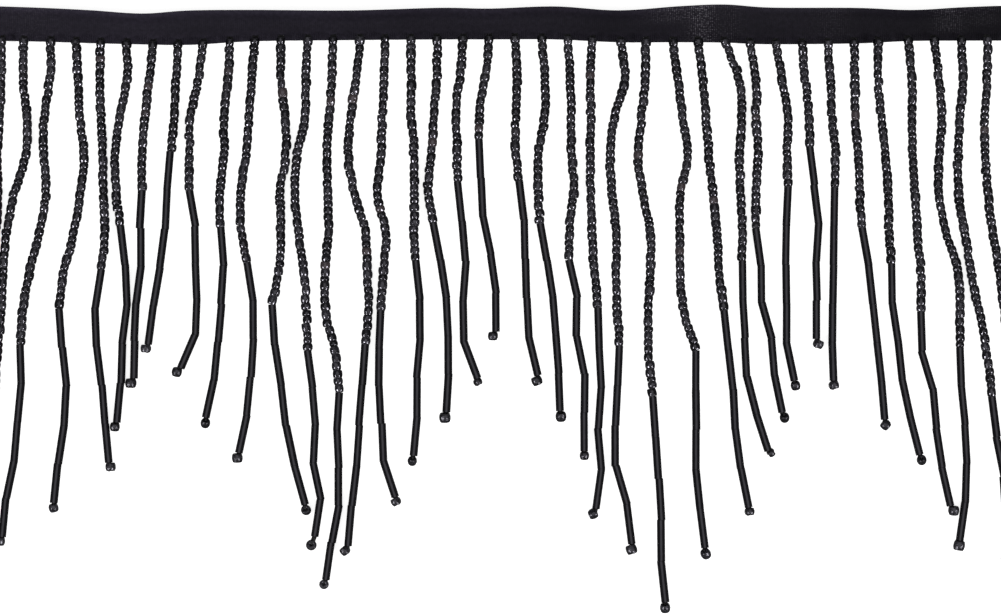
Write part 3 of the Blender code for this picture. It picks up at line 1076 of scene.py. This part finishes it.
def add_floor():
    """The white surface that the trim lies on."""
    mesh = bpy.data.meshes.new("floor")
    half = FLOOR_REACH
    mesh.from_pydata([(-half, -half, 0), (half, -half, 0), (half, half, 0), (-half, half, 0)], [],
                     [(0, 1, 2, 3)])
    floor = bpy.data.objects.new("floor", mesh)
    floor.location.z = -FLOOR_DROP
    bpy.context.scene.collection.objects.link(floor)
    material, shader = material_named("floor_paper")
    grain = noise(material, place_of(material), PAPER_SCALE, detail=2.0)
    link(material, colours(material, grain, PAPER_DARK, PAPER_LIGHT), shader.inputs["Base Color"])
    shader.inputs["Roughness"].default_value = 1.0
    shader.inputs["Specular IOR Level"].default_value = 0.0
    shader.inputs["Emission Color"].default_value = WHITE
    shader.inputs["Emission Strength"].default_value = FLOOR_GLOW
    mesh.materials.append(material)
    floor.visible_glossy = False


def add_sky():
    """Soft light from overhead that fades towards the horizon, and a pale backdrop behind all."""
    world = bpy.data.worlds.new("studio")
    bpy.context.scene.world = world
    world.use_nodes = True
    nodes = world.node_tree.nodes
    links = world.node_tree.links
    background = nodes["Background"]
    place = nodes.new("ShaderNodeTexCoord")
    parts = nodes.new("ShaderNodeSeparateXYZ")
    fade = nodes.new("ShaderNodeMapRange")
    fade.interpolation_type = "SMOOTHSTEP"
    fade.inputs["From Min"].default_value, fade.inputs["From Max"].default_value = SKY_HEIGHTS
    fade.inputs["To Min"].default_value, fade.inputs["To Max"].default_value = SKY_STRENGTHS
    links.new(place.outputs["Generated"], parts.inputs["Vector"])
    links.new(parts.outputs["Z"], fade.inputs["Value"])
    links.new(fade.outputs["Result"], background.inputs["Strength"])
    background.inputs["Color"].default_value = WHITE
    backdrop = nodes.new("ShaderNodeBackground")
    backdrop.inputs["Color"].default_value = BACKDROP
    path = nodes.new("ShaderNodeLightPath")
    mix = nodes.new("ShaderNodeMixShader")
    links.new(path.outputs["Is Camera Ray"], mix.inputs["Fac"])
    links.new(background.outputs["Background"], mix.inputs[1])
    links.new(backdrop.outputs["Background"], mix.inputs[2])
    links.new(mix.outputs["Shader"], nodes["World Output"].inputs["Surface"])


def add_lamp(name, bearing, receivers):
    """A soft distant lamp. bearing turns from -Y towards +X, and receivers says what it lights."""
    lamp = bpy.data.lights.new(name, "SUN")
    lamp.energy = KEY_STRENGTH
    lamp.angle = KEY_SPREAD
    item = bpy.data.objects.new(name, lamp)
    item.rotation_euler = (KEY_FROM_ZENITH, 0.0, bearing)
    item.light_linking.receiver_collection = receivers
    bpy.context.scene.collection.objects.link(item)


def add_lamps():
    """The two lamps, which light all but the bugle beads."""
    softly_lit = bpy.data.collections.new("softly_lit")
    softly_lit.objects.link(bpy.data.objects["bugle_beads"])
    softly_lit.collection_objects[0].light_linking.link_state = "EXCLUDE"
    add_lamp("key_left", -KEY_BEARING, softly_lit)
    add_lamp("key_right", KEY_BEARING, softly_lit)


def add_camera():
    """The camera, just so high that the photograph's width fills its view at a bead's middle."""
    data = bpy.data.cameras.new("camera")
    data.lens = LENS
    data.sensor_width = SENSOR
    camera = bpy.data.objects.new("camera", data)
    x = (IMAGE[0] / 2 - MIDDLE_X) * PIXEL
    y = (MIDDLE_Y - IMAGE[1] / 2 + CAMERA_UP) * PIXEL
    camera.location = (x, y, SEED_WIDTH / 2 + IMAGE[0] * PIXEL * LENS / SENSOR)
    bpy.context.scene.collection.objects.link(camera)
    bpy.context.scene.camera = camera


add_camera()
add_pieces()
add_floor()
add_sky()
add_lamps()
bpy.context.scene.view_settings.view_transform = "Standard"
